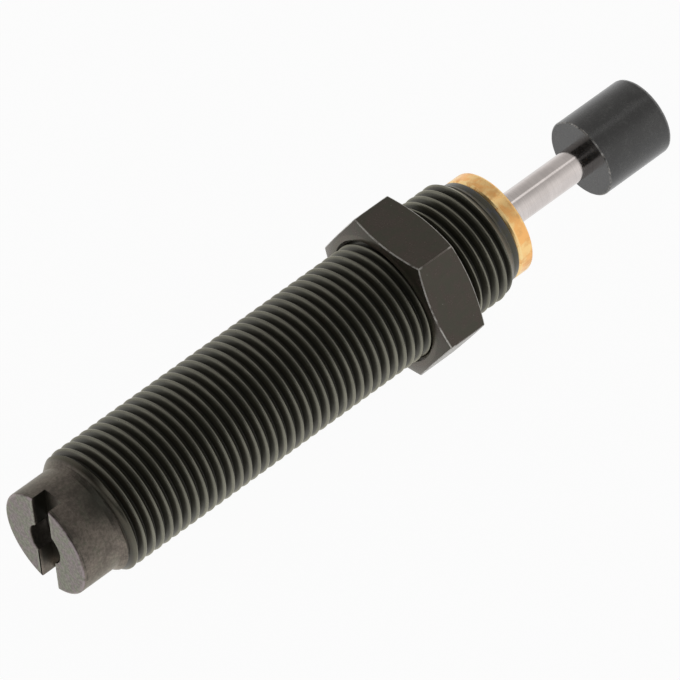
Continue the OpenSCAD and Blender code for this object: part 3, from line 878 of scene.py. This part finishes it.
class SHOCK_OT_spring(bpy.types.Operator):
    """Winds the return spring, and works out how far the rod's stroke would squash it"""
    bl_idname = "shock_absorber.spring"
    bl_label = "Return spring"

    def execute(self, context):
        sizes = context.scene.shock_spring
        rear, front, _ = span("return_spring")
        wire, steps = mm(sizes.wire), 40
        active = sizes.coils - 2 * sizes.closed
        open_pitch = (front - rear - wire * (1 + 2 * sizes.closed)) / active
        bm = bmesh.new()
        section = bmesh.ops.create_circle(bm, segments=14, radius=wire / 2)["verts"]
        bmesh.ops.translate(bm, verts=section, vec=(rear + wire / 2, mm(sizes.coil) / 2, 0))
        end = section + list(bm.edges)
        for coils, pitch in ((sizes.closed, wire), (active, open_pitch), (sizes.closed, wire)):
            end = bmesh.ops.spin(
                bm, geom=end, cent=(0, 0, 0), axis=(1, 0, 0), angle=2 * math.pi * coils, steps=steps * coils,
                dvec=(pitch / steps, 0, 0), use_merge=False)["geom_last"]
        bmesh.ops.holes_fill(bm, edges=[edge for edge in bm.edges if edge.is_boundary], sides=14)
        bmesh.ops.recalc_face_normals(bm, faces=bm.faces)
        for face in bm.faces:
            face.smooth = len(face.verts) == 4
        spring = piece("wound_spring", bm, "body", ["return_spring"], [spring_wire()])
        joint = next(joint for joint in frame["joints"] if joint["name"] == "rod_stroke")
        stroke = mm(joint["range_m"][1])
        keep = (front - rear - stroke) / (front - rear)
        rear / 1000
        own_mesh(spring)
        return {"FINISHED"}


class SHOCK_OT_inner(bpy.types.Operator):
    """Gives the pieces inside the body their finishes"""
    bl_idname = "shock_absorber.inner"
    bl_label = "Inner pieces"

    def execute(self, context):
        steel, rubber = turned_steel(), seal_rubber()
        brass = turned_brass(context.scene.shock_rod)
        finishes = {
            "fill_plug": steel, "tube_base": steel, "pressure_tube": steel, "rod_guide": steel,
            "seal_washer": steel, "spring_seat": steel, "piston_retainer": steel, "piston": steel,
            "check_ring": brass, "accumulator_foam": closed_cell_foam(),
            "fill_seal": rubber, "rod_seal": rubber, "bearing_o_ring": rubber}
        for node, finish in finishes.items():
            for slot in frame["nodes"][node].material_slots:
                slot.material = finish
        return {"FINISHED"}


# Studio

class SHOCK_OT_studio(bpy.types.Operator):
    """Sets up the floor, the light and the camera"""
    bl_idname = "shock_absorber.studio"
    bl_label = "Studio"

    def execute(self, context):
        self.floor()
        self.room(context.scene)
        self.lamps()
        self.camera(context.scene)
        context.scene.view_settings.view_transform = "Standard"
        return {"FINISHED"}

    def floor(self):
        bm = bmesh.new()
        bmesh.ops.create_grid(bm, x_segments=1, y_segments=1, size=3)
        bmesh.ops.translate(bm, verts=bm.verts, vec=(0, 0, cad_bounds[0][2] - 0.00005))
        mesh = bpy.data.meshes.new("floor")
        bm.to_mesh(mesh)
        bm.free()
        floor = bpy.data.objects.new("floor", mesh)
        bpy.context.scene.collection.objects.link(floor)
        made = Finish("floor_white")
        path = {name: made.node("ShaderNodeLightPath", {}, {}, name) for name in (
            "Is Camera Ray", "Is Glossy Ray", "Is Transmission Ray")}
        seen = path["Is Camera Ray"].at_least(path["Is Glossy Ray"]).at_least(path["Is Transmission Ray"])
        cloth = made.noise(40, 2)
        pale = made.mix(cloth, (0.80, 0.80, 0.80), (0.82, 0.82, 0.82))
        lit = made.node("ShaderNodeBsdfDiffuse", {}, {"Color": pale})
        white = made.node("ShaderNodeEmission", {}, {"Color": (1, 1, 1, 1), "Strength": 1})
        shown = made.node("ShaderNodeMixShader", {}, {0: seen * 0.96, 1: lit, 2: white})
        made.node_output(shown)
        mesh.materials.append(made.material)

    def room(self, scene):
        """Even light, and for what metal shows a white horizon under a greyer ceiling"""
        world = bpy.data.worlds.new("studio")
        scene.world = world
        world.use_nodes = True
        world.node_tree.nodes.clear()
        made = Finish.__new__(Finish)
        made.tree = world.node_tree
        way = made.node("ShaderNodeTexCoord", {}, {}, "Generated")
        side = made.node("ShaderNodeSeparateXYZ", {}, {0: way}, "Y")
        up = made.node("ShaderNodeSeparateXYZ", {}, {0: way}, "Z")
        room = made.mix((0.3 * side + 0.95 * up).rise(0.05, 0.9), (0.96, 0.95, 0.94), (0.56, 0.55, 0.54))
        towards = made.node("ShaderNodeVectorMath", {"operation": "DOT_PRODUCT"}, {0: way, 1: (-0.43, -0.49, 0.76)}, "Value")
        ahead = made.node("ShaderNodeVectorMath", {"operation": "DOT_PRODUCT"}, {0: way, 1: (0, -0.54, 0.84)}, "Value")
        behind = made.node("ShaderNodeSeparateXYZ", {}, {0: way}, "X")
        dark = towards.rise(0.60, 0.84).at_least(ahead.rise(0.02, 0.22) * behind.rise(-0.1, -0.3))
        room = made.mix(dark, room, (0.04, 0.04, 0.04))
        camera = made.node("ShaderNodeLightPath", {}, {}, "Is Camera Ray")
        glossy = made.node("ShaderNodeLightPath", {}, {}, "Is Glossy Ray")
        clear = made.node("ShaderNodeLightPath", {}, {}, "Is Transmission Ray")
        seen = camera.at_least(glossy).at_least(clear)
        room = made.mix(camera, room, (1, 1, 1))
        background = made.node("ShaderNodeBackground", {}, {"Color": room, "Strength": 0.7 + 0.3 * seen})
        output = made.tree.nodes.new("ShaderNodeOutputWorld")
        made.tree.links.new(background.socket, output.inputs["Surface"])

    def lamps(self):
        for name, place, size, power in (
                ("key", (0.19, -0.01, 0.41), 0.10, 0.020), ("fill", (-0.35, -0.15, 0.30), 0.30, 0.25)):
            data = bpy.data.lights.new(name, "AREA")
            data.size = size
            data.energy = power
            lamp = bpy.data.objects.new(name, data)
            lamp.location = place
            lamp.rotation_euler = (-Vector(place)).to_track_quat("-Z", "Y").to_euler()
            bpy.context.scene.collection.objects.link(lamp)

    def camera(self, scene):
        azimuth, elevation, roll = map(math.radians, (-41.26, 49.35, -2.10))
        aim, distance = Vector((-0.00556, -0.00046, -0.00029)), 0.546
        back = Vector((
            math.sin(azimuth) * math.cos(elevation), -math.cos(azimuth) * math.cos(elevation),
            math.sin(elevation)))
        data = bpy.data.cameras.new("camera")
        data.lens, data.sensor_width = 334.7, 36
        data.clip_start, data.clip_end = 0.01, 10
        camera = bpy.data.objects.new("camera", data)
        turn = (-back).to_track_quat("-Z", "Y").to_matrix() @ Matrix.Rotation(roll, 3, "Z")
        camera.matrix_world = Matrix.Translation(aim + distance * back) @ turn.to_4x4()
        scene.collection.objects.link(camera)
        scene.camera = camera


class VIEW3D_PT_shock_absorber(bpy.types.Panel):
    """Lists the steps that build the shock absorber, and their sizes"""
    bl_label = "Shock absorber"
    bl_space_type = "VIEW_3D"
    bl_region_type = "UI"
    bl_category = "Shock absorber"

    def draw(self, context):
        for step in STEPS:
            self.layout.operator(step.bl_idname)
        scene = context.scene
        for group in (scene.shock_body, scene.shock_nut, scene.shock_rod, scene.shock_spring):
            box = self.layout.box()
            for name in group.__annotations__:
                box.prop(group, name)


STEPS = (
    SHOCK_OT_body, SHOCK_OT_nut, SHOCK_OT_bearing, SHOCK_OT_rod, SHOCK_OT_head, SHOCK_OT_spring,
    SHOCK_OT_inner, SHOCK_OT_studio)
CLASSES = (BodySizes, NutSizes, RodSizes, SpringSizes, *STEPS, VIEW3D_PT_shock_absorber)


def register():
    for item in CLASSES:
        bpy.utils.register_class(item)
    bpy.types.Scene.shock_body = PointerProperty(type=BodySizes)
    bpy.types.Scene.shock_nut = PointerProperty(type=NutSizes)
    bpy.types.Scene.shock_rod = PointerProperty(type=RodSizes)
    bpy.types.Scene.shock_spring = PointerProperty(type=SpringSizes)


def unregister():
    del bpy.types.Scene.shock_spring
    del bpy.types.Scene.shock_rod
    del bpy.types.Scene.shock_nut
    del bpy.types.Scene.shock_body
    for item in reversed(CLASSES):
        bpy.utils.unregister_class(item)


def main():
    register()
    bpy.ops.shock_absorber.body()
    bpy.ops.shock_absorber.nut()
    bpy.ops.shock_absorber.bearing()
    bpy.ops.shock_absorber.rod()
    bpy.ops.shock_absorber.head()
    bpy.ops.shock_absorber.spring()
    bpy.ops.shock_absorber.inner()
    bpy.ops.shock_absorber.studio()


if __name__ == "__main__":
    main()
